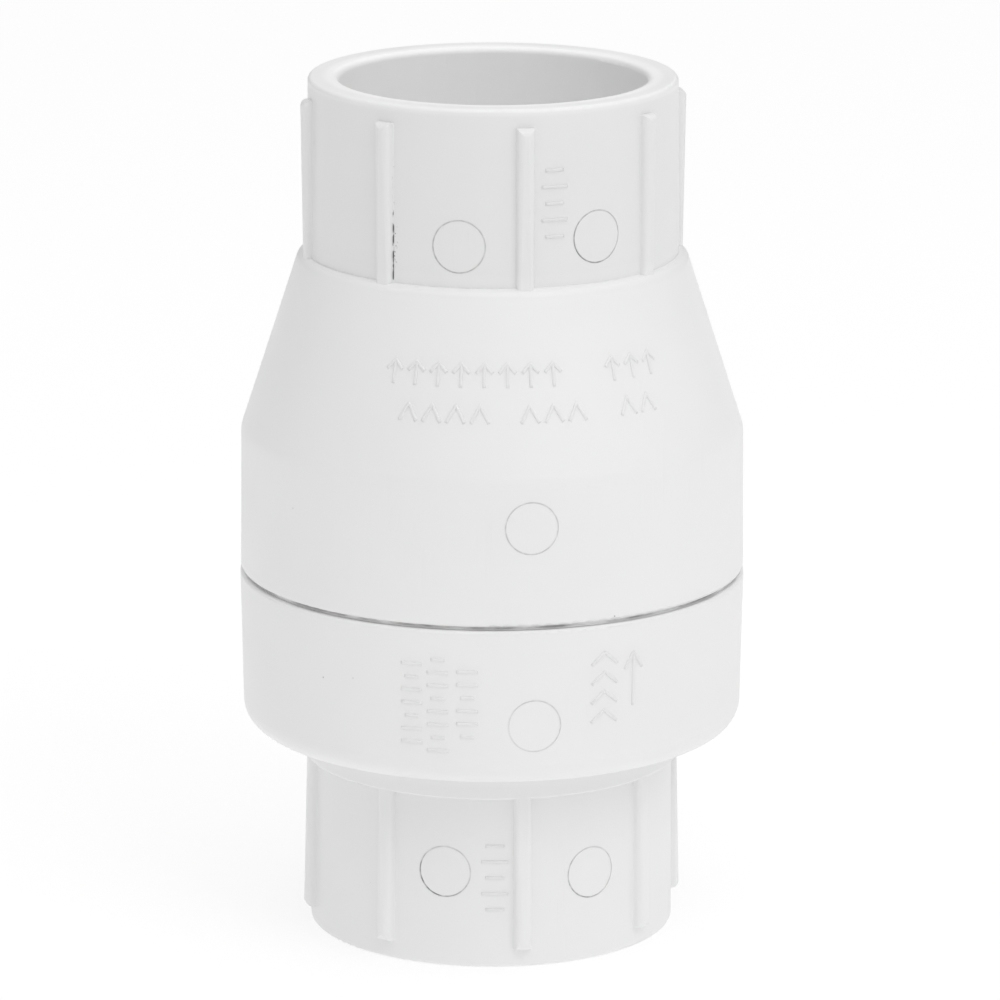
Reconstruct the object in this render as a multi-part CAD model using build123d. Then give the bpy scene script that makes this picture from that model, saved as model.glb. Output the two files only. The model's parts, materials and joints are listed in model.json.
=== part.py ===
"""In-line swing check valve for solvent-weld pipe: two welded body halves around a seat and a flapper.

The origin is the centre of the inlet end face. +Z runs along the flow, from the inlet to the outlet. The
flapper's hinge lies on the +Y side and its pin runs along X. All sizes are in millimetres.
"""
from build123d import *
from math import atan2, cos, radians, sin
import os

# ---- used throughout ----
OVERCUT = 1.0                # how far cutters and buried feet reach past a face
EDGE_BREAK = 0.3             # rounding on the edges of small pieces

# ---- pipe sockets ----
PIPE_RADIUS = 24.13          # outside of nominal 1 1/2 inch pipe
SOCKET_CLEARANCE = 0.15      # radial room for the solvent cement
SOCKET_DEPTH = 28.5          # end face to pipe stop
SOCKET_WALL = 4.85           # at the end face
SOCKET_LEAD_IN = 1.0         # rounding at the mouth of the bore
SOCKET_EDGE = 0.65            # rounding at the outside of the end face
THROUGH_RADIUS = 20.45       # bore of the pipe, and of the way through the valve

# ---- body ----
OVERALL_LENGTH = 137.6
SEAM_HEIGHT = 58.0           # rim of the inlet half
SEAM_GAP = 0.65              # open groove left between the welded halves
SEAM_DEPTH = 0.9             # of the groove, out to the inlet half's rim
SEAM_SEAT_GAP = 0.05         # under the shoulder at the bottom of the groove
SEAM_RADIUS = 40.2           # outside of the inlet half at its rim
OUTLET_STEP = 0.1            # the outlet half is this much smaller at the seam
BODY_WALL = 4.8
BODY_DRAFT = 0.0085          # loss of radius per millimetre of height on the outlet cylinder
INLET_DRAFT = 0.02           # the same, downwards, on the inlet cylinder
FLOOR_UNDERSIDE = 32.8       # underside of the inlet half's floor
FLOOR_THICKNESS = 5.2
CORNER_ROUND = 3.9           # between the floor and the inlet cylinder
EDGE_ROUND = 0.6             # lower outside edge of the outlet half
RIM_ROUND = 0.5              # upper outside edge of the inlet half

# ---- collar under the inlet half, and drafts of the sockets ----
COLLAR_HEIGHT = 4.9
COLLAR_STEP = 1.25           # collar beyond the socket wall
COLLAR_ROUND = 0.4           # at the collar's lower edge
COLLAR_HOLLOW = 0.6          # between the collar and the floor
INLET_SOCKET_DRAFT = 0.23    # loss of radius from the end face to the collar
OUTLET_SOCKET_DRAFT = 0.25   # gain of radius from the end face to the cone

# ---- cone ----
OUTLET_SOCKET_LENGTH = 27.9  # end face to the top of the cone
CONE_LENGTH = 28.5
CONE_LEDGE = 1.3             # cone's top beyond the socket wall
CONE_LEDGE_ROUND = 1.6
CONE_LEDGE_HOLLOW = 0.1      # between the ledge and the socket wall
SHOULDER_ROUND = 5.5
STOP_WALL = 4.0              # material behind the outlet pipe stop
INNER_ROUND = 1.5            # corners of the chamber

# ---- grip ribs on both sockets ----
RIB_ANGLES = [-122.5, -77.5, -34.3, 9.8, 53.9, 98.5, 143.5, -170.2]  # degrees from -Y towards +X
RIB_WIDTH = 2.8
RIB_HEIGHT = 1.65            # beyond the wall at the free end
RIB_TAPER = 0.15             # each side leans in by this much
RIB_NOSE_SHARE = 0.92        # roundness of the outside, as a share of the half width
RIB_FOOT_SHARE = 0.25        # hollow rounding beside the wall, as a share of the height
RIB_END_ROUND = 1.2          # rounding of the free end, seen from the side
RIB_BURIED = 1.5             # rib's material inside the wall
RIB_FLARE = 1.2              # buried widening on each side
RIB_FLARE_DROP = 0.6         # the widening lies this far inside the wall
OUTLET_RIB_MARGIN = 2.85     # free end to the outlet face
OUTLET_RIB_LOSS = 0.75       # loss of height at the cone
OUTLET_RIB_SINK = 3.0        # length inside the cone
INLET_RIB_MARGIN = 3.1       # free end to the inlet face
INLET_RIB_SINK = 0.3         # length inside the collar
INLET_RIB_FLUSH = 0.05       # the rib's root inside the collar's outside

# ---- ejector sleeve marks: shallow ring grooves, each with its twin on the far side ----
SLEEVE_RADIUS = 4.1
SLEEVE_LINE = 0.2            # width of the groove
SLEEVE_DEPTH = 0.12
SLEEVE_SPAN = 1.5            # height worked on each side of the centre, as a share of the radius
OUTLET_SOCKET_SLEEVES = [(-10.2, 21.4), (33.3, 20.6)]  # degrees, and distance from the outlet face
OUTLET_BODY_SLEEVES = [(8.9, 15.65)]                   # degrees, and distance above the seam
INLET_BODY_SLEEVES = [(9.7, 15.3)]                     # degrees, and distance below the rim
INLET_SOCKET_SLEEVES = [(-14.5, 15.6), (32.9, 14.4)]   # degrees, and distance from the inlet face

# ---- welded spigot ----
SPIGOT_WALL = 3.1
SPIGOT_CLEARANCE = 0.05
COUNTERBORE_WALL = 3.6       # inlet half around the spigot
SPIGOT_LEAD = 3.5            # height of the taper from the spigot's bore to the chamber
SPIGOT_ROUND = 0.5

# ---- seat carrier ----
FLANGE_THICKNESS = 4.0
FLANGE_CLEARANCE = 0.3
SEAT_HEIGHT = 4.0            # lip above the flange
LIP_WIDTH = 1.75
LIP_SLOPE = 2.8              # widening of the lip's cone at the flange
LIP_ROUND = 0.25
LIP_FOOT_ROUND = 1.0
FLANGE_ROUND = 0.4
SEAL_RADIUS = 28.5           # centre line of the carrier's seal
SEAL_CORD = 2.6
SEAL_SQUEEZE = 0.4
SEAL_SIDE_ROOM = 0.25
SEAL_ROUND = 0.8
SEAL_GROOVE_ROUND = 0.2

# ---- flapper ----
LIP_OVERHANG = 0.8           # facing beyond the lip
FACING_THICKNESS = 3.0
FACING_ROUND = 0.5
FACING_GAP = 0.1             # facing above the lip when closed
BACKING_MARGIN = 0.5         # backing disc inside the facing's edge
BACKING_THICKNESS = 2.2
BACKING_RIM = 0.8            # height of the rim on the backing disc
BACKING_RIM_WIDTH = 2.0
NOTCH_ROOM = 0.5             # rim's notch beyond the knuckle, on each side
RETAINER_MARGIN = 2.95       # retainer plate inside the throat
RETAINER_THICKNESS = 1.5
ARM_THICKNESS = 3.5
ARM_WIDTH = 8.0
ARM_RIB_HEIGHT = 1.2         # rib along the arm's top
ARM_RIB_WIDTH = 2.2
HUB_RADIUS = 6.5
OPEN_ANGLE = 75.0

# ---- clamp screw, washer, nut and bumper ----
SCREW_RADIUS = 2.5
SCREW_HOLE_CLEARANCE = 0.05
SCREW_HEAD_RADIUS = 4.6
SCREW_HEAD_HEIGHT = 2.6
SCREW_HEAD_ROUND = 1.2
SCREW_END_ROUND = 0.4
SCREW_SOCKET_FLATS = 3.0
SCREW_SOCKET_DEPTH = 1.5
WASHER_RADIUS = 5.0
WASHER_THICKNESS = 1.0
NUT_FLATS = 8.0
NUT_HEIGHT = 4.0
NUT_CHAMFER = 0.4
SCREW_OVERRUN = 2.0          # thread past the nut, inside the bumper
BUMPER_RADIUS = 4.0
BUMPER_CROWN = 1.2           # rubber over the screw's end
BUMPER_ROUND = 0.8

# ---- hinge ----
PIN_RADIUS = 2.0
PIN_POST_CLEARANCE = 0.02
PIN_RUNNING_CLEARANCE = 0.06
BUSH_WALL = 0.8
BUSH_PRESS_CLEARANCE = 0.01
BUSH_FLANGE = 0.8
KNUCKLE_WALL = 1.0
KNUCKLE_WIDTH = 10.0
KNUCKLE_GAP = 0.5            # knuckle to the facing's edge
HINGE_RISE = 5.5             # pin above the lip
POST_THICKNESS = 3.5
POST_RADIUS = 3.3
POST_SIDE_GAP = 0.3
CLIP_THICKNESS = 0.8
CLIP_RADIUS = 3.0
CLIP_GROOVE_DEPTH = 0.5
CLIP_PLAY = 0.05
CLIP_OPENING = 70.0          # degrees
PIN_END = 0.8                # pin past each clip's groove
PIN_CHAMFER = 0.3

# ---- opening stop inside the outlet half ----
STOP_WIDTH = 6.0
STOP_CLEARANCE = 0.3
STOP_MARGIN = 3.0            # stop below the bumper's edge

# ---- worked out from the sizes above ----
socket_radius = PIPE_RADIUS + SOCKET_CLEARANCE
end_radius = socket_radius + SOCKET_WALL
floor_height = FLOOR_UNDERSIDE + FLOOR_THICKNESS
outlet_seam = SEAM_HEIGHT + SEAM_GAP
outlet_radius = SEAM_RADIUS - OUTLET_STEP
cone_top = OVERALL_LENGTH - OUTLET_SOCKET_LENGTH
shoulder = cone_top - CONE_LENGTH
shoulder_radius = outlet_radius - BODY_DRAFT * (shoulder - outlet_seam)
cone_top_radius = end_radius + OUTLET_SOCKET_DRAFT + CONE_LEDGE
cone_angle = atan2(shoulder_radius - cone_top_radius, CONE_LENGTH)
chamber_radius = outlet_radius - BODY_WALL
outlet_stop = OVERALL_LENGTH - SOCKET_DEPTH
roof = outlet_stop - STOP_WALL

counterbore_radius = SEAM_RADIUS - COUNTERBORE_WALL
spigot_radius = counterbore_radius - SPIGOT_CLEARANCE
spigot_bore = spigot_radius - SPIGOT_WALL
flange_top = floor_height + FLANGE_THICKNESS
seat = flange_top + SEAT_HEIGHT
lip_radius = THROUGH_RADIUS + LIP_WIDTH

facing_radius = lip_radius + LIP_OVERHANG
facing_bottom = seat + FACING_GAP
facing_top = facing_bottom + FACING_THICKNESS
backing_top = facing_top + BACKING_THICKNESS
arm_bottom = backing_top
arm_top = arm_bottom + ARM_THICKNESS
washer_top = arm_top + WASHER_THICKNESS
nut_top = washer_top + NUT_HEIGHT
screw_top = nut_top + SCREW_OVERRUN
bumper_top = screw_top + BUMPER_CROWN
retainer_bottom = facing_bottom - RETAINER_THICKNESS
screw_hole = SCREW_RADIUS + SCREW_HOLE_CLEARANCE

bush_bore = PIN_RADIUS + PIN_RUNNING_CLEARANCE
bush_radius = bush_bore + BUSH_WALL
knuckle_bore = bush_radius + BUSH_PRESS_CLEARANCE
knuckle_radius = knuckle_bore + KNUCKLE_WALL
hinge_y = facing_radius + KNUCKLE_GAP + knuckle_radius
hinge_z = seat + HINGE_RISE
post_inside = KNUCKLE_WIDTH / 2 + BUSH_FLANGE + POST_SIDE_GAP
post_outside = post_inside + POST_THICKNESS
clip_inside = post_outside + CLIP_PLAY
groove_outside = clip_inside + CLIP_THICKNESS + CLIP_PLAY
pin_half = groove_outside + PIN_END


def rounded_section(corners):
    """A flat face through (x, y, rounding) corners."""
    face = make_face(Polyline(*[(x, y) for x, y, _ in corners], close=True))
    for x, y, rounding in corners:
        if rounding:
            corner = face.vertices().sort_by_distance((x, y, 0))[0]
            face = fillet(corner, rounding)
    return face


def turned(corners):
    """A solid of revolution about Z through (radius, height, rounding) corners."""
    return revolve(Plane.XZ * rounded_section(corners), Axis.Z)


def tube(outside, inside, low, high):
    """A plain ring from height low to height high."""
    return turned([(inside, low, 0), (outside, low, 0), (outside, high, 0), (inside, high, 0)])


def along_x(radius, start, stop, y=0.0, z=0.0):
    """A round bar along X."""
    return Pos(start, y, z) * (Plane.YZ * extrude(Circle(radius), stop - start))


def outlet_wall(height):
    """Outside radius of the outlet half's cone at a height."""
    return shoulder_radius + (cone_top_radius - shoulder_radius) * (height - shoulder) / CONE_LENGTH


def rib_section(wall, tip):
    """Cross-section of a rib that stands on a wall radius, seen along Z, on the -Y side."""
    foot_half = RIB_WIDTH / 2
    nose_half = foot_half - RIB_TAPER
    stands = tip - wall
    nose = RIB_NOSE_SHARE * min(stands * (1 - RIB_FOOT_SHARE), nose_half)
    hollow = RIB_FOOT_SHARE * stands
    buried = wall - RIB_BURIED
    flare = foot_half + RIB_FLARE
    outline = [
        (-flare, -buried, 0),
        (-flare, RIB_FLARE_DROP - wall, 0),
        (-foot_half, -wall, hollow),
        (-nose_half, -tip, nose),
        (nose_half, -tip, nose),
        (foot_half, -wall, hollow),
        (flare, RIB_FLARE_DROP - wall, 0),
        (flare, -buried, 0),
    ]
    return rounded_section(outline)


def ribs(free_end, root_end):
    """All the grip ribs of one socket, between two (height, wall radius, tip radius) ends."""
    free_height, free_wall, free_tip = free_end
    root_height, root_wall, root_tip = root_end
    free = Pos(0, 0, free_height) * rib_section(free_wall, free_tip)
    root = Pos(0, 0, root_height) * rib_section(root_wall, root_tip)
    inside = free_wall - RIB_BURIED
    envelope = turned([
        (inside, root_height, 0),
        (root_tip, root_height, 0),
        (free_tip, free_height, RIB_END_ROUND),
        (inside, free_height, 0),
    ])
    rib = loft([root, free], ruled=True) & envelope
    return [Rot(0, 0, angle) * rib for angle in RIB_ANGLES]


def sleeve_grooves(places, wall_at):
    """Cutters for ring grooves at (degrees, height) places on a wall whose radius is wall_at(height)."""
    half_line = SLEEVE_LINE / 2
    line = Circle(SLEEVE_RADIUS + half_line) - Circle(SLEEVE_RADIUS - half_line)
    cutters = []
    for angle, height in places:
        low = height - SLEEVE_SPAN * SLEEVE_RADIUS
        high = height + SLEEVE_SPAN * SLEEVE_RADIUS
        skin = turned([
            (wall_at(low) - SLEEVE_DEPTH, low, 0),
            (wall_at(low) + OVERCUT, low, 0),
            (wall_at(high) + OVERCUT, high, 0),
            (wall_at(high) - SLEEVE_DEPTH, high, 0),
        ])
        sleeve = Pos(0, 0, height) * (Plane.XZ * extrude(line, 2 * wall_at(height)))
        groove = sleeve & skin
        cutters += [Rot(0, 0, angle + turn) * groove for turn in (0, 180)]
    return cutters


def inlet_socket_wall(height):
    """Outside radius of the inlet socket."""
    return end_radius - INLET_SOCKET_DRAFT * height / (FLOOR_UNDERSIDE - COLLAR_HEIGHT)


def inlet_body_wall(height):
    """Outside radius of the inlet cylinder."""
    return SEAM_RADIUS - INLET_DRAFT * (SEAM_HEIGHT - height)


def outlet_body_wall(height):
    """Outside radius of the outlet cylinder."""
    return outlet_radius - BODY_DRAFT * (height - outlet_seam)


def outlet_socket_wall(height):
    """Outside radius of the outlet socket."""
    return end_radius + OUTLET_SOCKET_DRAFT * (OVERALL_LENGTH - height) / OUTLET_SOCKET_LENGTH


def inlet_shell():
    """Lower half: socket, collar, floor and the cylinder that takes the spigot."""
    collar_bottom = FLOOR_UNDERSIDE - COLLAR_HEIGHT
    base = inlet_socket_wall(collar_bottom)
    collar = base + COLLAR_STEP
    shell = turned([
        (socket_radius, 0, SOCKET_LEAD_IN),
        (end_radius, 0, SOCKET_EDGE),
        (base, collar_bottom, 0),
        (collar, collar_bottom, COLLAR_ROUND),
        (collar, FLOOR_UNDERSIDE, COLLAR_HOLLOW),
        (inlet_body_wall(FLOOR_UNDERSIDE), FLOOR_UNDERSIDE, CORNER_ROUND),
        (SEAM_RADIUS, SEAM_HEIGHT, RIM_ROUND),
        (counterbore_radius, SEAM_HEIGHT, 0),
        (counterbore_radius, floor_height, 0),
        (THROUGH_RADIUS, floor_height, 0),
        (THROUGH_RADIUS, SOCKET_DEPTH, 0),
        (socket_radius, SOCKET_DEPTH, 0),
    ])
    free_end = (INLET_RIB_MARGIN, end_radius, end_radius + RIB_HEIGHT)
    root_end = (collar_bottom + INLET_RIB_SINK, base, collar - INLET_RIB_FLUSH)
    shell = shell.fuse(*ribs(free_end, root_end))
    body_marks = [(angle, SEAM_HEIGHT - below) for angle, below in INLET_BODY_SLEEVES]
    grooves = sleeve_grooves(body_marks, inlet_body_wall)
    grooves += sleeve_grooves(INLET_SOCKET_SLEEVES, inlet_socket_wall)
    return shell.cut(*grooves).solids()[0]


def opening_stop():
    """Rib up the back of the chamber that the bumper meets, square to it, when the flapper is fully open."""
    turn = radians(OPEN_ANGLE)
    reach = bumper_top - hinge_z + STOP_CLEARANCE
    foot = hinge_y - BUMPER_RADIUS - STOP_MARGIN
    top = (roof - hinge_z - reach * cos(turn)) / sin(turn)
    face = [
        (hinge_y - along * cos(turn) + reach * sin(turn), hinge_z + along * sin(turn) + reach * cos(turn))
        for along in (foot, top)
    ]
    back = chamber_radius + BODY_WALL / 2
    outline = face + [(back, face[1][1]), (back, face[0][1])]
    flat = make_face(Polyline(*outline, close=True))
    pad = extrude(Plane.YZ * flat, STOP_WIDTH / 2, both=True)
    inside = turned([
        (0, outlet_seam, 0),
        (chamber_radius + OVERCUT, outlet_seam, 0),
        (chamber_radius + OVERCUT, shoulder, 0),
        (outlet_wall(roof) - BODY_WALL + OVERCUT, roof, 0),
        (0, roof, 0),
    ])
    return (pad & inside).solids()[0]


def outlet_shell():
    """Upper half: spigot, chamber, cone and socket."""
    slant_wall = BODY_WALL / cos(cone_angle)
    shoulder_foot = SEAM_HEIGHT + SEAM_SEAT_GAP
    base = outlet_socket_wall(cone_top)
    slope = (shoulder_radius - cone_top_radius) / CONE_LENGTH
    chamber_top = shoulder + (shoulder_radius - slant_wall - chamber_radius) / slope
    shell = turned([
        (spigot_bore, flange_top, SPIGOT_ROUND),
        (spigot_radius, flange_top, SPIGOT_ROUND),
        (spigot_radius, shoulder_foot, 0),
        (SEAM_RADIUS - SEAM_DEPTH, shoulder_foot, 0),
        (SEAM_RADIUS - SEAM_DEPTH, outlet_seam, 0),
        (outlet_radius, outlet_seam, EDGE_ROUND),
        (shoulder_radius, shoulder, SHOULDER_ROUND),
        (cone_top_radius, cone_top, CONE_LEDGE_ROUND),
        (base, cone_top, CONE_LEDGE_HOLLOW),
        (end_radius, OVERALL_LENGTH, SOCKET_EDGE),
        (socket_radius, OVERALL_LENGTH, SOCKET_LEAD_IN),
        (socket_radius, outlet_stop, 0),
        (THROUGH_RADIUS, outlet_stop, 0),
        (THROUGH_RADIUS, roof, INNER_ROUND),
        (outlet_wall(roof) - slant_wall, roof, INNER_ROUND),
        (chamber_radius, chamber_top, INNER_ROUND),
        (chamber_radius, outlet_seam + SPIGOT_LEAD, INNER_ROUND),
        (spigot_bore, outlet_seam, INNER_ROUND),
    ])
    free_end = (OVERALL_LENGTH - OUTLET_RIB_MARGIN, end_radius, end_radius + RIB_HEIGHT)
    root_end = (cone_top - OUTLET_RIB_SINK, base, base + RIB_HEIGHT - OUTLET_RIB_LOSS)
    shell = shell.fuse(*ribs(free_end, root_end), opening_stop())
    body_marks = [(angle, outlet_seam + above) for angle, above in OUTLET_BODY_SLEEVES]
    socket_marks = [(angle, OVERALL_LENGTH - below) for angle, below in OUTLET_SOCKET_SLEEVES]
    grooves = sleeve_grooves(body_marks, outlet_body_wall) + sleeve_grooves(socket_marks, outlet_socket_wall)
    return shell.cut(*grooves).solids()[0]


def seat_carrier():
    """Flange with the throat, the seat lip and the two hinge posts."""
    flange_radius = counterbore_radius - FLANGE_CLEARANCE
    groove_depth = SEAL_CORD - SEAL_SQUEEZE
    groove_half = SEAL_CORD / 2 + SEAL_SIDE_ROOM
    body = turned([
        (THROUGH_RADIUS, floor_height, 0),
        (SEAL_RADIUS - groove_half, floor_height, 0),
        (SEAL_RADIUS - groove_half, floor_height + groove_depth, SEAL_GROOVE_ROUND),
        (SEAL_RADIUS + groove_half, floor_height + groove_depth, SEAL_GROOVE_ROUND),
        (SEAL_RADIUS + groove_half, floor_height, 0),
        (flange_radius, floor_height, FLANGE_ROUND),
        (flange_radius, flange_top, 0),
        (lip_radius + LIP_SLOPE, flange_top, LIP_FOOT_ROUND),
        (lip_radius, seat, LIP_ROUND),
        (THROUGH_RADIUS, seat, LIP_ROUND),
    ])
    return body.fuse(*[hinge_post(side) for side in (-1, 1)]).solids()[0]


def hinge_post(side):
    """One post: straight sides up from the flange, a round top about the pin, and the pin's hole."""
    start = post_inside if side > 0 else -post_outside
    foot = flange_top - OVERCUT
    round_top = along_x(POST_RADIUS, start, start + POST_THICKNESS, hinge_y, hinge_z)
    upright = Pos(start, hinge_y - POST_RADIUS, foot) * Box(
        POST_THICKNESS, 2 * POST_RADIUS, hinge_z - foot, align=(Align.MIN, Align.MIN, Align.MIN)
    )
    hole_end = start + POST_THICKNESS + OVERCUT
    hole = along_x(PIN_RADIUS + PIN_POST_CLEARANCE, start - OVERCUT, hole_end, hinge_y, hinge_z)
    return (upright + round_top) - hole


def carrier_seal():
    """Seal ring in the flange's groove, squeezed flat against the floor."""
    height = SEAL_CORD - SEAL_SQUEEZE
    return turned([
        (SEAL_RADIUS - SEAL_CORD / 2, floor_height, SEAL_ROUND),
        (SEAL_RADIUS + SEAL_CORD / 2, floor_height, SEAL_ROUND),
        (SEAL_RADIUS + SEAL_CORD / 2, floor_height + height, SEAL_ROUND),
        (SEAL_RADIUS - SEAL_CORD / 2, floor_height + height, SEAL_ROUND),
    ])


def flapper_arm():
    """Knuckle, tapering arm and hub, with the screw's hole."""
    knuckle = along_x(knuckle_radius, -KNUCKLE_WIDTH / 2, KNUCKLE_WIDTH / 2, hinge_y, hinge_z)
    hub = Pos(0, 0, arm_bottom) * extrude(Circle(HUB_RADIUS), ARM_THICKNESS)
    plan = make_face(Polyline(
        (-KNUCKLE_WIDTH / 2, hinge_y),
        (-ARM_WIDTH / 2, 0),
        (ARM_WIDTH / 2, 0),
        (KNUCKLE_WIDTH / 2, hinge_y),
        close=True,
    ))
    bar = Pos(0, 0, arm_bottom) * extrude(plan, ARM_THICKNESS)
    rib_size = (ARM_RIB_WIDTH, hinge_y - HUB_RADIUS, ARM_RIB_HEIGHT + OVERCUT)
    rib_foot = Pos(0, HUB_RADIUS, arm_top - OVERCUT)
    rib = rib_foot * Box(*rib_size, align=(Align.CENTER, Align.MIN, Align.MIN))
    bore = along_x(knuckle_bore, -KNUCKLE_WIDTH, KNUCKLE_WIDTH, hinge_y, hinge_z)
    hole = Pos(0, 0, arm_bottom - OVERCUT) * extrude(Circle(screw_hole), ARM_THICKNESS + 2 * OVERCUT)
    return (knuckle + hub + bar + rib - bore - hole).solids()[0]


def backing_disc():
    """Steel disc over the facing, with a raised rim that is notched for the arm."""
    radius = facing_radius - BACKING_MARGIN
    disc = turned([
        (screw_hole, facing_top, 0),
        (radius, facing_top, EDGE_BREAK),
        (radius, backing_top + BACKING_RIM, EDGE_BREAK),
        (radius - BACKING_RIM_WIDTH, backing_top + BACKING_RIM, EDGE_BREAK),
        (radius - BACKING_RIM_WIDTH, backing_top, 0),
        (screw_hole, backing_top, 0),
    ])
    notch_size = (KNUCKLE_WIDTH + 2 * NOTCH_ROOM, 3 * BACKING_RIM_WIDTH, 2 * BACKING_RIM)
    notch = Pos(0, radius, backing_top) * Box(*notch_size, align=(Align.CENTER, Align.CENTER, Align.MIN))
    return (disc - notch).solids()[0]


def facing():
    """Rubber disc that closes on the lip."""
    return turned([
        (screw_hole, facing_bottom, 0),
        (facing_radius, facing_bottom, FACING_ROUND),
        (facing_radius, facing_top, EDGE_BREAK),
        (screw_hole, facing_top, 0),
    ])


def retainer_plate():
    """Thin plate under the facing, inside the throat."""
    radius = THROUGH_RADIUS - RETAINER_MARGIN
    return turned([
        (screw_hole, retainer_bottom, 0),
        (radius, retainer_bottom, EDGE_BREAK),
        (radius, facing_bottom, 0),
        (screw_hole, facing_bottom, 0),
    ])


def clamp_screw():
    """Pan-head screw from below, with a hexagon socket and a shank through the stack."""
    head_bottom = retainer_bottom - SCREW_HEAD_HEIGHT
    screw = turned([
        (0, head_bottom, 0),
        (SCREW_HEAD_RADIUS, head_bottom, SCREW_HEAD_ROUND),
        (SCREW_HEAD_RADIUS, retainer_bottom, 0),
        (SCREW_RADIUS, retainer_bottom, 0),
        (SCREW_RADIUS, screw_top, SCREW_END_ROUND),
        (0, screw_top, 0),
    ])
    hexagon = RegularPolygon(SCREW_SOCKET_FLATS / 2, 6, major_radius=False)
    socket = Pos(0, 0, head_bottom) * extrude(hexagon, SCREW_SOCKET_DEPTH)
    return (screw - socket).solids()[0]


def clamp_washer():
    """Plain washer between the arm's hub and the nut."""
    return tube(WASHER_RADIUS, screw_hole, arm_top, washer_top)


def clamp_nut():
    """Hexagon nut with chamfered corners."""
    hexagon = RegularPolygon(NUT_FLATS / 2, 6, major_radius=False)
    blank = Pos(0, 0, washer_top) * extrude(hexagon, NUT_HEIGHT)
    corner = NUT_FLATS / 2 / cos(radians(30))
    envelope = turned([
        (screw_hole, washer_top, 0),
        (NUT_FLATS / 2, washer_top, 0),
        (corner, washer_top + NUT_CHAMFER, 0),
        (corner, nut_top - NUT_CHAMFER, 0),
        (NUT_FLATS / 2, nut_top, 0),
        (screw_hole, nut_top, 0),
    ])
    return (blank & envelope).solids()[0]


def stop_bumper():
    """Rubber cap over the screw's end, which meets the opening stop."""
    hole_top = screw_top + SCREW_HOLE_CLEARANCE
    return turned([
        (screw_hole, nut_top, 0),
        (BUMPER_RADIUS, nut_top, EDGE_BREAK),
        (BUMPER_RADIUS, bumper_top, BUMPER_ROUND),
        (0, bumper_top, 0),
        (0, hole_top, 0),
        (screw_hole, hole_top, 0),
    ])


def hinge_pin():
    """Pin along X, with a groove for a clip near each end."""
    pin = along_x(PIN_RADIUS, -pin_half, pin_half, hinge_y, hinge_z)
    pin = chamfer(pin.edges().filter_by(GeomType.CIRCLE), PIN_CHAMFER)
    for side in (-1, 1):
        start = min(side * post_outside, side * groove_outside)
        width = groove_outside - post_outside
        ring = along_x(PIN_RADIUS + OVERCUT, start, start + width, hinge_y, hinge_z)
        core = along_x(PIN_RADIUS - CLIP_GROOVE_DEPTH, start, start + width, hinge_y, hinge_z)
        pin = pin - (ring - core)
    return pin.solids()[0]


def hinge_bushes():
    """Two flanged sleeves pressed into the knuckle's ends."""
    sleeves = []
    for side in (-1, 1):
        face = side * KNUCKLE_WIDTH / 2
        outer = face + side * BUSH_FLANGE
        inner = side * BUSH_FLANGE
        sleeve = along_x(bush_radius, min(inner, face), max(inner, face), hinge_y, hinge_z)
        collar = along_x(knuckle_radius, min(face, outer), max(face, outer), hinge_y, hinge_z)
        bore = along_x(bush_bore, -KNUCKLE_WIDTH, KNUCKLE_WIDTH, hinge_y, hinge_z)
        sleeves.append((sleeve + collar - bore).solids()[0])
    return Compound(sleeves)


def pin_clips():
    """Two open retaining rings in the pin's grooves."""
    rings = []
    reach = CLIP_RADIUS * 2
    half = radians(CLIP_OPENING / 2)
    inner = PIN_RADIUS - CLIP_GROOVE_DEPTH + PIN_POST_CLEARANCE
    across = reach * sin(half)
    along = reach * cos(half)
    mouth = make_face(Polyline((0, 0), (across, along), (-across, along), close=True))
    for side in (-1, 1):
        start = min(side * clip_inside, side * (clip_inside + CLIP_THICKNESS))
        ring = along_x(CLIP_RADIUS, start, start + CLIP_THICKNESS, hinge_y, hinge_z)
        hole = along_x(inner, start - OVERCUT, start + CLIP_THICKNESS + OVERCUT, hinge_y, hinge_z)
        thick_mouth = Plane.YZ * extrude(mouth, CLIP_THICKNESS + 2 * OVERCUT)
        wedge = Pos(start - OVERCUT, hinge_y, hinge_z) * thick_mouth
        rings.append((ring - hole - wedge).solids()[0])
    return Compound(rings)


SUB_PARTS = [
    inlet_shell,
    outlet_shell,
    seat_carrier,
    carrier_seal,
    flapper_arm,
    backing_disc,
    facing,
    retainer_plate,
    clamp_screw,
    clamp_washer,
    clamp_nut,
    stop_bumper,
    hinge_pin,
    hinge_bushes,
    pin_clips,
]

os.makedirs("parts", exist_ok=True)
for make in SUB_PARTS:
    export_step(make(), f"parts/{make.__name__}.step")
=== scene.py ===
import json
import math

import bmesh
import bpy
from mathutils import Matrix, Vector
from mathutils.bvhtree import BVHTree


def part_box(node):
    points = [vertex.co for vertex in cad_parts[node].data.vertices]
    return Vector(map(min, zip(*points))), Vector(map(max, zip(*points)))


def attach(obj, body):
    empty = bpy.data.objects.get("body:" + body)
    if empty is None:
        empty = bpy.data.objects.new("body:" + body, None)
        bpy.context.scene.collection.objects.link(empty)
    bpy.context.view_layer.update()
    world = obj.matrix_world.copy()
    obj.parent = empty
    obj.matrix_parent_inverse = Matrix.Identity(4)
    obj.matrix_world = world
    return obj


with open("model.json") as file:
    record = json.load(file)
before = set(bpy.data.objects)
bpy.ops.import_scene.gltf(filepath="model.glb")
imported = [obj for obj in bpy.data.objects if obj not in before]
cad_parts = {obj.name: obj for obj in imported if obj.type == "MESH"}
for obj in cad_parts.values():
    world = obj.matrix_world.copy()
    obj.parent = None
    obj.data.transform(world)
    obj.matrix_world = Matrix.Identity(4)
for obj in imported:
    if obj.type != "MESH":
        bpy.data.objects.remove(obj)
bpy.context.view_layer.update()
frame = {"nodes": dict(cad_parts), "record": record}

MM = 0.001

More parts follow.
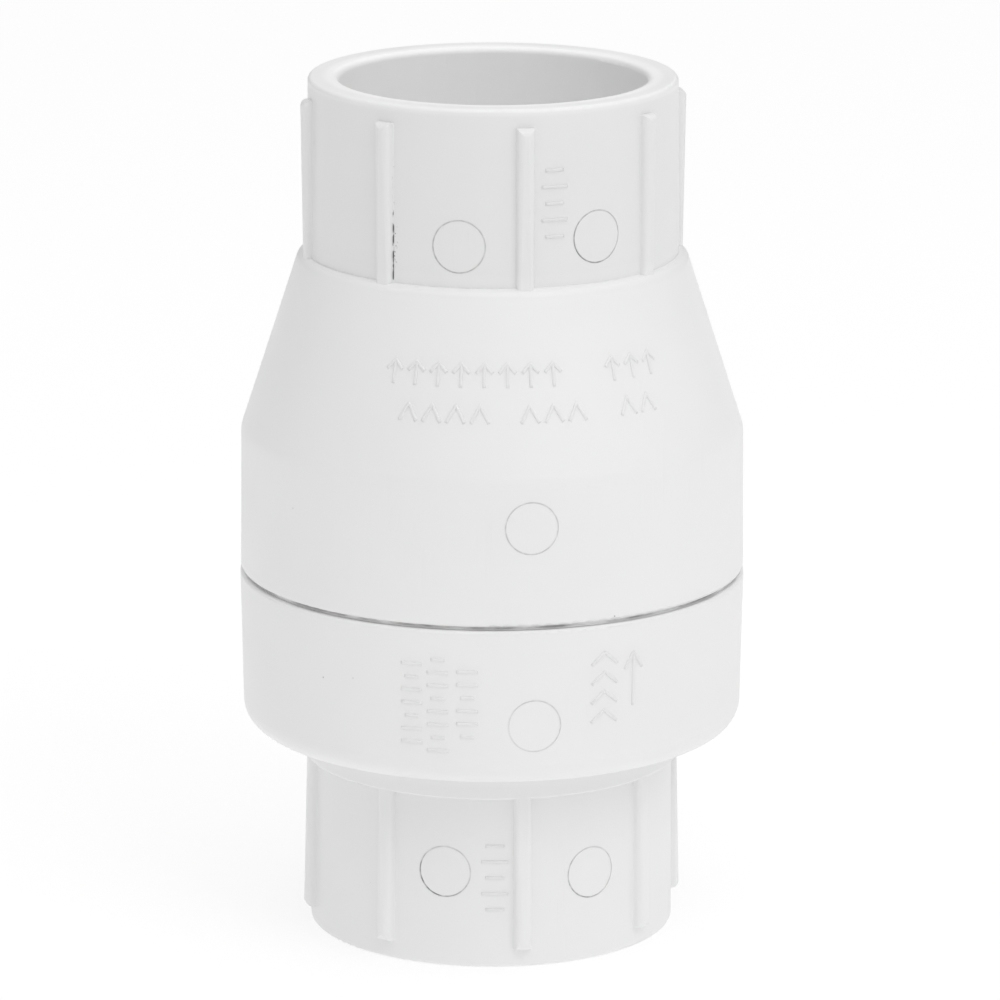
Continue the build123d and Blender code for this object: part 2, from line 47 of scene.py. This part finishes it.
# ---- camera ----
CAMERA_PLACE = (0.001255, -1.0161, 0.32777)
CAMERA_TILT = 75.70                     # degrees up from straight down
CAMERA_ROLL = 0.00282                   # radians
CAMERA_LENS = 236.65
SENSOR_WIDTH = 36.0
VIEW_LIMIT = 20.0

# ---- floor ----
FLOOR_HALF = 4.0
FLOOR_DROP = 0.1 * MM                   # below the end face, so that the two don't share a plane
FLOOR_SHADE = 0.35
FLOOR_GLOW = 0.68

# ---- light ----
TENT_STRENGTH = 1.12
TENT_BRIGHTEST = (0.05, 0.0, 0.999)     # direction
TENT_BLACK = -0.2                       # cosine from that direction at which the tent is black
LIGHT_TARGET = (0, 0, 0.07)
SOFTBOXES = [                           # name, place, size, power
    ("key", (0.55, -0.75, 0.95), 0.6, 2.0),
    ("front", (0.0, -0.5, 1.1), 0.7, 1.1),
    ("right", (0.8, -0.1, 0.9), 0.6, 0.3),
]

# ---- painted light and shade on the white moulding ----
BORE_WALL = (26.0 * MM, 27.0 * MM)      # radius over which the bore's painted lightening ends
# how much lighter the bore is painted, as painted light
BORE_PAINTED_LIGHT = 0.08
UPPER_FOOT = (108.0 * MM, 112.0 * MM)   # height over which the upper socket's painted shade begins
UPPER_TOP = (136.4 * MM, 137.2 * MM)    # and ends
# how much darker the upper socket is painted, as painted shade
UPPER_PAINTED_SHADE = 0.06
# colour of the specks and grime, and of the painted shade in the grooves and the seam
DIRT_AND_SHADE_COLOUR = (0.09, 0.09, 0.09)

# ---- dirt beside one rib of the upper socket, in degrees and metres ----
GRIME_ANGLE = -31.35
GRIME_HALF_WIDTH = 0.3
GRIME_HEIGHTS = (110.5 * MM, 128.0 * MM)
CRUMB_ANGLE = -30.7
CRUMB_HALF_WIDTH = 1.0
CRUMB_HEIGHT = 115.5 * MM
CRUMB_HALF_HEIGHT = 3.5 * MM
DIRT_FLOOR = (110.1 * MM, 110.4 * MM)   # no dirt below the cone's ledge

# ---- painted shade in the grooves round the ejector marks ----
SLEEVE_RADIUS = 4.1 * MM
SLEEVE_GROOVE = 0.16 * MM
SLEEVE_PAINTED_SHADE = [                         # ((degrees, height), amount of painted shade)
    ((-10.2, 0.1162), 0.5),
    ((33.3, 0.117), 0.8),
    ((8.9, 0.0743), 0.3),
    ((9.7, 0.0427), 0.1),
    ((-14.5, 0.0156), 1.0),
    ((32.9, 0.0144), 0.7),
]

# ---- the weld seam, whose groove gets painted shade ----
SEAM_RISE = 0.4 * MM                    # middle of the groove above the inlet half's rim
SEAM_HALF_HEIGHT = 0.42 * MM

# ---- raised marks, in millimetres unless stated ----
RAY_START = 0.1                         # metres from the flow axis, outside the body
BEAD_PROFILE = [                        # shares of the width, and of the rise
    (-0.5, -0.4), (-0.42, 0.55), (-0.2, 0.95), (0.2, 0.95), (0.42, 0.55), (0.5, -0.4),
]
BEAD_WIDTH = 0.55
BEAD_RISE = 0.2
BEAD_STEP = 0.35
BEAD_END = 0.55                         # share of the rise at a bead's ends
MARK_PITCH = 5.9                        # degrees between neighbours in a line of marks
ARROW_LINE = 97.2
CHEVRON_LINE = 91.5
TICK_PITCH = 2.1
SOCKET_TICK_PITCH = 2.6
FLOW_PITCH = 3.1

nodes = frame["nodes"]
seam_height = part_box("inlet_shell")[1].z + SEAM_RISE


# ---------------------------------------------------------------- camera, floor and light

def add_camera():
    """The photograph's view: a long lens, slightly above the valve."""
    data = bpy.data.cameras.new("camera")
    data.sensor_width = SENSOR_WIDTH
    data.lens = CAMERA_LENS
    data.clip_end = VIEW_LIMIT
    camera = bpy.data.objects.new("camera", data)
    tilt = Matrix.Rotation(math.radians(CAMERA_TILT), 4, "X")
    roll = Matrix.Rotation(CAMERA_ROLL, 4, "Z")
    camera.matrix_world = Matrix.Translation(CAMERA_PLACE) @ tilt @ roll
    bpy.context.scene.collection.objects.link(camera)
    bpy.context.scene.camera = camera


def add_floor():
    """A plain white light table that runs past the view on every side."""
    mesh = bpy.data.meshes.new("floor")
    half = FLOOR_HALF
    corners = [(-half, -half, 0), (half, -half, 0), (half, half, 0), (-half, half, 0)]
    mesh.from_pydata(corners, [], [(0, 1, 2, 3)])
    floor = bpy.data.objects.new("floor", mesh)
    floor.location.z = -FLOOR_DROP
    bpy.context.scene.collection.objects.link(floor)
    material = bpy.data.materials.new("floor_white")
    material.use_nodes = True
    shader = material.node_tree.nodes["Principled BSDF"]
    shader.inputs["Base Color"].default_value = (FLOOR_SHADE, FLOOR_SHADE, FLOOR_SHADE, 1)
    shader.inputs["Roughness"].default_value = 1.0
    shader.inputs["Specular IOR Level"].default_value = 0.0
    shader.inputs["Emission Color"].default_value = (1, 1, 1, 1)
    shader.inputs["Emission Strength"].default_value = FLOOR_GLOW
    mesh.materials.append(material)


def add_area(name, place, target, size, power):
    """A square soft light at a place, turned to a target."""
    data = bpy.data.lights.new(name, "AREA")
    data.shape = "SQUARE"
    data.size = size
    data.energy = power
    lamp = bpy.data.objects.new(name, data)
    lamp.location = place
    lamp.rotation_euler = (Vector(target) - Vector(place)).to_track_quat("-Z", "Y").to_euler()
    bpy.context.scene.collection.objects.link(lamp)


def add_light():
    """A tent that is brightest overhead, with softboxes above the front, the right and between them."""
    scene = bpy.context.scene
    scene.view_settings.view_transform = "Standard"
    world = bpy.data.worlds.new("studio")
    scene.world = world
    world.use_nodes = True
    tree = world.node_tree
    background = tree.nodes["Background"]
    where = tree.nodes.new("ShaderNodeTexCoord")
    towards = tree.nodes.new("ShaderNodeVectorMath")
    towards.operation = "DOT_PRODUCT"
    towards.inputs[1].default_value = TENT_BRIGHTEST
    ramp = tree.nodes.new("ShaderNodeMapRange")
    ramp.inputs["From Min"].default_value = TENT_BLACK
    ramp.inputs["From Max"].default_value = 1.0
    ramp.inputs["To Min"].default_value = 0.0
    ramp.inputs["To Max"].default_value = TENT_STRENGTH
    tree.links.new(where.outputs["Generated"], towards.inputs[0])
    tree.links.new(towards.outputs["Value"], ramp.inputs["Value"])
    tree.links.new(ramp.outputs["Result"], background.inputs["Strength"])
    background.inputs["Color"].default_value = (1, 1, 1, 1)
    for name, place, size, power in SOFTBOXES:
        add_area(name, place, LIGHT_TARGET, size, power)


# ---------------------------------------------------------------- material building blocks

class Material:
    """A Principled material with short calls for its nodes. Coordinates are the frame's, in metres."""

    def __init__(self, name):
        self.material = bpy.data.materials.new(name)
        self.material.use_nodes = True
        self.tree = self.material.node_tree
        self.shader = self.tree.nodes["Principled BSDF"]
        self.where = self.tree.nodes.new("ShaderNodeTexCoord").outputs["Object"]

    def set(self, **values):
        for name, value in values.items():
            self.shader.inputs[name.replace("_", " ")].default_value = value

    def node(self, kind, inputs=(), **settings):
        made = self.tree.nodes.new(kind)
        for name, value in settings.items():
            setattr(made, name, value)
        for name, value in dict(inputs).items():
            socket = made.inputs[name]
            if isinstance(value, bpy.types.NodeSocket):
                self.tree.links.new(value, socket)
            else:
                socket.default_value = value
        return made

    def math(self, operation, *values):
        return self.node("ShaderNodeMath", enumerate(values), operation=operation).outputs[0]

    def noise(self, scale, detail=2.0, vector=None, roughness=0.5):
        inputs = {
            "Vector": vector or self.where,
            "Scale": scale,
            "Detail": detail,
            "Roughness": roughness,
        }
        return self.node("ShaderNodeTexNoise", inputs).outputs[0]

    def stretched(self, factors):
        """Coordinates scaled by a factor along each axis."""
        return self.node("ShaderNodeMapping", {"Vector": self.where, "Scale": factors}).outputs[0]

    def spread(self, value, low, high, to_low, to_high):
        inputs = {
            "Value": value,
            "From Min": low,
            "From Max": high,
            "To Min": to_low,
            "To Max": to_high,
        }
        return self.node("ShaderNodeMapRange", inputs).outputs[0]

    def colours(self, value, low, high):
        """Mixes from low to high, colours or colour sockets, as value goes from 0 to 1."""
        made = self.tree.nodes.new("ShaderNodeMix")
        made.data_type = "RGBA"
        self.tree.links.new(value, made.inputs[0])
        for place, colour in ((6, low), (7, high)):
            if isinstance(colour, bpy.types.NodeSocket):
                self.tree.links.new(colour, made.inputs[place])
            else:
                made.inputs[place].default_value = (*colour, 1)
        return made.outputs[2]

    def bump(self, height, distance, strength=1.0, under=None):
        inputs = {"Height": height, "Distance": distance, "Strength": strength}
        if under is not None:
            inputs["Normal"] = under
        return self.node("ShaderNodeBump", inputs).outputs[0]

    def link(self, socket, name):
        self.tree.links.new(socket, self.shader.inputs[name])


def near(material, value, centre, width):
    """1 where value is within width of centre, falling to 0 at its edge."""
    away = material.math("ABSOLUTE", material.math("SUBTRACT", value, centre))
    return material.spread(away, 0.0, width, 1.0, 0.0)


def ring_painted_shade(m, wall, place, full):
    """Painted shade in the groove round an ejector mark at a (degrees, height) place on a wall, patchy
    and stronger towards the lower left.
    """
    out, angle, height = wall
    degrees, level = place
    u = m.math("MULTIPLY", m.math("SUBTRACT", angle, math.radians(degrees)), out)
    v = m.math("SUBTRACT", height, level)
    away = m.math("SQRT", m.math("ADD", m.math("POWER", u, 2.0), m.math("POWER", v, 2.0)))
    ring = near(m, away, SLEEVE_RADIUS, SLEEVE_GROOVE)
    side = m.spread(m.math("ADD", u, v), -5.0 * MM, 3.0 * MM, 1.0, 0.0)
    patches = m.spread(m.noise(900.0, 3.0), 0.35, 0.6, 0.3, 1.0)
    amount = m.math("MULTIPLY", m.spread(side, 0.0, 1.0, 0.25, full), patches)
    return m.math("MULTIPLY", ring, amount)


def body_pvc():
    """Moulded white PVC: satin, faintly uneven, with a few specks and dirt by one rib, painted shade in
    the grooves round the ejector marks and along the seam, a painted lighter bore and a painted darker
    upper socket.
    """
    m = Material("body_pvc")
    m.set(IOR=1.53, Subsurface_Weight=0.12, Subsurface_Scale=0.002, Subsurface_Radius=(1, 1, 1))
    split = m.node("ShaderNodeSeparateXYZ", {0: m.where})
    across, depth, height = (split.outputs[axis] for axis in "XYZ")
    out = m.math("SQRT", m.math("ADD", m.math("POWER", across, 2.0), m.math("POWER", depth, 2.0)))
    angle = m.math("ARCTAN2", across, m.math("MULTIPLY", depth, -1.0))

    # mask of the bore, which gets painted light
    painted_light_bore = m.spread(out, *BORE_WALL, 1.0, 0.0)
    low = m.spread(height, *UPPER_FOOT, 0.0, 1.0)
    high = m.spread(height, *UPPER_TOP, 1.0, 0.0)
    # mask of the outside of the upper socket, which gets painted shade
    upper = m.math("MULTIPLY", m.math("MULTIPLY", low, high), m.math("SUBTRACT", 1.0, painted_light_bore))
    shade = m.spread(m.noise(35.0, 3.0), 0.3, 0.7, 0.89, 0.91)
    # painted light: the bore is painted lighter than the rest of the moulding
    shade = m.math("ADD", shade, m.math("MULTIPLY", painted_light_bore, BORE_PAINTED_LIGHT))
    # painted shade: the outside of the upper socket is painted darker
    shade = m.math("SUBTRACT", shade, m.math("MULTIPLY", upper, UPPER_PAINTED_SHADE))
    tint = m.node("ShaderNodeCombineColor", {0: shade, 1: shade, 2: shade}).outputs[0]

    cells = m.node("ShaderNodeTexVoronoi", {"Vector": m.where, "Scale": 420.0, "Randomness": 1.0})
    dot = m.spread(cells.outputs["Distance"], 0.04, 0.07, 1.0, 0.0)
    pick = m.node("ShaderNodeSeparateColor", {0: cells.outputs["Color"]}).outputs[0]
    dirt_and_painted_shade = m.math("MULTIPLY", dot, m.spread(pick, 0.96, 1.0, 0.0, 0.7))

    rise = m.spread(height, *GRIME_HEIGHTS, 1.0, 0.0)
    line = near(m, angle, math.radians(GRIME_ANGLE), math.radians(GRIME_HALF_WIDTH))
    threads = m.noise(1.0, 2.0, m.stretched((2600.0, 2600.0, 900.0)))
    crumbs = m.spread(m.math("ADD", threads, m.math("MULTIPLY", rise, 0.22)), 0.57, 0.72, 0.0, 1.6)
    grime = m.math("MULTIPLY", m.math("MULTIPLY", line, crumbs), m.math("GREATER_THAN", rise, 0.001))
    beside = near(m, angle, math.radians(CRUMB_ANGLE), math.radians(CRUMB_HALF_WIDTH))
    loose = m.spread(m.noise(2900.0, 1.0), 0.62, 0.68, 0.0, 2.0)
    patch = m.math("MULTIPLY", beside, near(m, height, CRUMB_HEIGHT, CRUMB_HALF_HEIGHT))
    loose = m.math("MULTIPLY", patch, loose)
    above = m.spread(height, *DIRT_FLOOR, 0.0, 1.0)
    dirt_and_painted_shade = m.math("MAXIMUM", dirt_and_painted_shade, m.math("MULTIPLY", m.math("MAXIMUM", grime, loose), above))
    # painted shade in the grooves round the ejector marks
    for place, full in SLEEVE_PAINTED_SHADE:
        dirt_and_painted_shade = m.math("MAXIMUM", dirt_and_painted_shade, ring_painted_shade(m, (out, angle, height), place, full))
    # painted shade along the weld seam's groove, uneven
    seam = near(m, height, seam_height, SEAM_HALF_HEIGHT)
    uneven_seam_shade = m.spread(m.noise(1.0, 3.0, m.stretched((160.0, 160.0, 700.0))), 0.4, 0.62, 0.12, 0.8)
    dirt_and_painted_shade = m.math("MAXIMUM", dirt_and_painted_shade, m.math("MULTIPLY", seam, uneven_seam_shade))
    dirt_and_painted_shade = m.node("ShaderNodeClamp", {0: dirt_and_painted_shade}).outputs[0]
    # specks, grime and painted shade mixed over the base tone
    m.link(m.colours(dirt_and_painted_shade, tint, DIRT_AND_SHADE_COLOUR), "Base Color")

    m.link(m.spread(m.noise(90.0, 4.0), 0.3, 0.7, 0.36, 0.46), "Roughness")
    slant = {"Vector": m.where, "Rotation": (0.3, 0.9, 0.0), "Scale": (2600.0, 120.0, 90.0)}
    scuffs = m.noise(1.0, 1.0, m.node("ShaderNodeMapping", slant).outputs[0])
    areas = m.spread(m.noise(28.0, 1.0), 0.5, 0.62, 0.0, 1.0)
    scratched = m.math("MULTIPLY", m.spread(scuffs, 0.66, 0.74, 0.0, -1.0), areas)
    grain = m.bump(m.noise(2600.0, 2.0), 0.004 * MM)
    scratches = m.bump(scratched, 0.02 * MM, under=grain)
    m.link(m.bump(m.noise(70.0, 2.0), 0.12 * MM, under=scratches), "Normal")
    return m.material


def carrier_plastic():
    """Off-white moulded plastic with a fine spark-eroded grain."""
    m = Material("carrier_plastic")
    m.set(IOR=1.5, Subsurface_Weight=0.1, Subsurface_Scale=0.002, Subsurface_Radius=(1, 1, 1))
    m.link(m.colours(m.noise(60.0, 3.0), (0.66, 0.66, 0.63), (0.74, 0.74, 0.71)), "Base Color")
    m.link(m.spread(m.noise(140.0, 3.0), 0.3, 0.7, 0.42, 0.55), "Roughness")
    m.link(m.bump(m.noise(1800.0, 3.0), 0.01 * MM), "Normal")
    return m.material


def arm_plastic():
    """Dark grey glass-filled plastic with pale flecks that lie along the arm."""
    m = Material("arm_plastic")
    m.set(IOR=1.5)
    flecks = m.noise(1.0, 2.0, m.stretched((2600.0, 500.0, 2600.0)))
    shade = m.spread(flecks, 0.55, 0.75, 0.0, 1.0)
    m.link(m.colours(shade, (0.035, 0.037, 0.04), (0.085, 0.088, 0.092)), "Base Color")
    m.link(m.spread(m.noise(200.0, 3.0), 0.3, 0.7, 0.4, 0.55), "Roughness")
    m.link(m.bump(flecks, 0.01 * MM), "Normal")
    return m.material


def bush_plastic():
    """Natural bearing plastic, slightly waxy."""
    m = Material("bush_plastic")
    m.set(IOR=1.48, Subsurface_Weight=0.2, Subsurface_Scale=0.001, Subsurface_Radius=(1, 0.9, 0.7))
    m.link(m.colours(m.noise(400.0, 3.0), (0.62, 0.57, 0.43), (0.72, 0.68, 0.55)), "Base Color")
    m.link(m.spread(m.noise(300.0, 3.0), 0.3, 0.7, 0.3, 0.4), "Roughness")
    return m.material


def seal_rubber():
    """Black moulded rubber with a fine matt grain and a little bloom."""
    m = Material("seal_rubber")
    m.set(IOR=1.5, Sheen_Weight=0.08, Sheen_Roughness=0.5)
    m.link(m.colours(m.noise(120.0, 4.0), (0.012, 0.012, 0.013), (0.035, 0.035, 0.036)), "Base Color")
    m.link(m.spread(m.noise(260.0, 3.0), 0.3, 0.7, 0.6, 0.8), "Roughness")
    m.link(m.bump(m.noise(3200.0, 3.0), 0.012 * MM), "Normal")
    return m.material


def steel():
    """Stainless steel with fine turned lines round Z and faint smears."""
    m = Material("steel")
    m.set(Metallic=1.0)
    split = m.node("ShaderNodeSeparateXYZ", {0: m.where})
    squares = [m.math("POWER", split.outputs[axis], 2.0) for axis in "XY"]
    out = m.math("SQRT", m.math("ADD", *squares))
    turned = m.node("ShaderNodeCombineXYZ", {0: m.math("MULTIPLY", out, 9000.0)}).outputs[0]
    lines = m.noise(1.0, 2.0, turned)
    m.link(m.colours(m.noise(150.0, 4.0), (0.50, 0.50, 0.49), (0.62, 0.62, 0.61)), "Base Color")
    smears = m.spread(m.noise(80.0), 0.4, 0.6, 0.0, 0.06)
    m.link(m.math("ADD", m.spread(lines, 0.3, 0.7, 0.18, 0.34), smears), "Roughness")
    m.link(m.bump(lines, 0.002 * MM), "Normal")
    return m.material


def paint_cad():
    """Gives every CAD node the material of its slot."""
    makers = [body_pvc, carrier_plastic, arm_plastic, bush_plastic, seal_rubber, steel]
    made = {maker.__name__: maker() for maker in makers}
    for row in frame["record"]["subparts"]:
        mesh = nodes[row["node"]].data
        mesh.materials.clear()
        mesh.materials.append(made[row["material_slot"]])
    return made


# ---------------------------------------------------------------- raised marks on the moulding

class Wall:
    """The outside of one CAD shell, found by rays towards the flow axis."""

    def __init__(self, node):
        mesh = bmesh.new()
        mesh.from_mesh(nodes[node].data)
        self.tree = BVHTree.FromBMesh(mesh)
        mesh.free()

    def point(self, angle, height):
        """The surface point at an angle from -Y towards +X, and a height."""
        out = Vector((math.sin(angle), -math.cos(angle), 0))
        start = out * RAY_START + Vector((0, 0, height))
        hit, normal, _, _ = self.tree.ray_cast(start, -out)
        return hit, normal if normal.dot(out) > 0 else -normal


def dense(path, step):
    """Points along a path of straight runs, at most a step apart."""
    points = [path[0]]
    for (x0, y0), (x1, y1) in zip(path, path[1:]):
        count = max(1, math.ceil(math.hypot(x1 - x0, y1 - y0) / step))
        points += [(x0 + (x1 - x0) * i / count, y0 + (y1 - y0) * i / count) for i in range(1, count + 1)]
    return points


def add_bead(mesh, wall, angle, height, path):
    """A low rounded line on the wall, along a path of (across, up) millimetres about a place."""
    points = dense(path, BEAD_STEP)
    radius = wall.point(angle, height)[0].xy.length
    rings = []
    last = len(points) - 1
    for place, (across, up) in enumerate(points):
        (x0, y0), (x1, y1) = points[max(place - 1, 0)], points[min(place + 1, last)]
        run = math.hypot(x1 - x0, y1 - y0)
        side = (-(y1 - y0) / run, (x1 - x0) / run)
        taper = BEAD_END if place in (0, last) else 1.0
        ring = []
        for offset, lift in BEAD_PROFILE:
            u = across + side[0] * offset * BEAD_WIDTH
            v = up + side[1] * offset * BEAD_WIDTH
            spot, normal = wall.point(angle + u * MM / radius, height + v * MM)
            ring.append(mesh.verts.new(spot + normal * lift * BEAD_RISE * taper * MM))
        rings.append(ring)
    for before, after in zip(rings, rings[1:]):
        for i in range(len(BEAD_PROFILE) - 1):
            mesh.faces.new((before[i], before[i + 1], after[i + 1], after[i]))
        mesh.faces.new((before[-1], before[0], after[0], after[-1]))
    mesh.faces.new(rings[0][::-1])
    mesh.faces.new(rings[-1])


def add_relief(name, wall, marks, material):
    """One piece made of beads: marks are (degrees, height in metres, paths)."""
    mesh = bmesh.new()
    for degrees, height, paths in marks:
        for path in paths:
            add_bead(mesh, wall, math.radians(degrees), height, path)
    bmesh.ops.recalc_face_normals(mesh, faces=mesh.faces)
    data = bpy.data.meshes.new(name)
    mesh.to_mesh(data)
    mesh.free()
    for face in data.polygons:
        face.use_smooth = True
    data.materials.append(material)
    piece = bpy.data.objects.new(name, data)
    bpy.context.scene.collection.objects.link(piece)
    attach(piece, "body")


def arrow(length, half_head, head):
    """An arrow that points up."""
    half = length / 2
    return [[(0, -half), (0, half)], [(-half_head, half - head), (0, half), (half_head, half - head)]]


def bar(length):
    """A level bar."""
    return [[(-length / 2, 0), (length / 2, 0)]]


def chevron(half_width, rise):
    """A chevron that points up."""
    return [[(-half_width, -rise / 2), (0, rise / 2), (half_width, -rise / 2)]]


def mark_line(degrees, height, paths, count, pitch=MARK_PITCH):
    """A level line of one mark round the wall, from an angle at a height in millimetres."""
    return [(degrees + pitch * i, height * MM, paths) for i in range(count)]


def socket_ticks(degrees, start):
    """Five level bars, one above the other, long and short by turns."""
    return [
        (degrees, (start + SOCKET_TICK_PITCH * i) * MM, bar(4.2 if i % 2 else 3.0))
        for i in range(5)
    ]


def add_marks(material):
    """Plain arrows, chevrons and bars where the moulding carries its marking."""
    outlet = Wall("outlet_shell")
    inlet = Wall("inlet_shell")
    up_arrow = arrow(3.5, 1.3, 1.4)
    up_chevron = chevron(1.4, 2.6)
    arrows = mark_line(-25.6, ARROW_LINE, up_arrow, 8) + mark_line(32.4, ARROW_LINE, up_arrow, 3)
    chevrons = mark_line(-20.6, CHEVRON_LINE, up_chevron, 4)
    chevrons += mark_line(9.2, CHEVRON_LINE, up_chevron, 3)
    chevrons += mark_line(35.0, CHEVRON_LINE, up_chevron, 2, 6.0)
    add_relief("way_up_arrows", outlet, arrows, material)
    add_relief("way_up_chevrons", outlet, chevrons, material)
    columns = [(-18.0, 39.8, 7), (-12.0, 38.6, 8), (-5.4, 41.0, 6)]
    ticks = [
        (degrees, (start + TICK_PITCH * i) * MM, bar(3.4 if (i + count) % 3 else 2.2))
        for degrees, start, count in columns
        for i in range(count)
    ]
    add_relief("inlet_ticks", inlet, ticks, material)
    flow = [(26.0, (43.4 + FLOW_PITCH * i) * MM, chevron(2.2, 1.9)) for i in range(4)]
    flow.append((33.4, 48.8 * MM, arrow(8.6, 1.6, 2.6)))
    add_relief("flow_arrow", inlet, flow, material)
    add_relief("outlet_socket_ticks", outlet, socket_ticks(19.0, 117.6), material)
    add_relief("inlet_socket_ticks", inlet, socket_ticks(1.2, 9.6), material)


add_camera()
add_floor()
add_light()
materials = paint_cad()
add_marks(materials["body_pvc"])
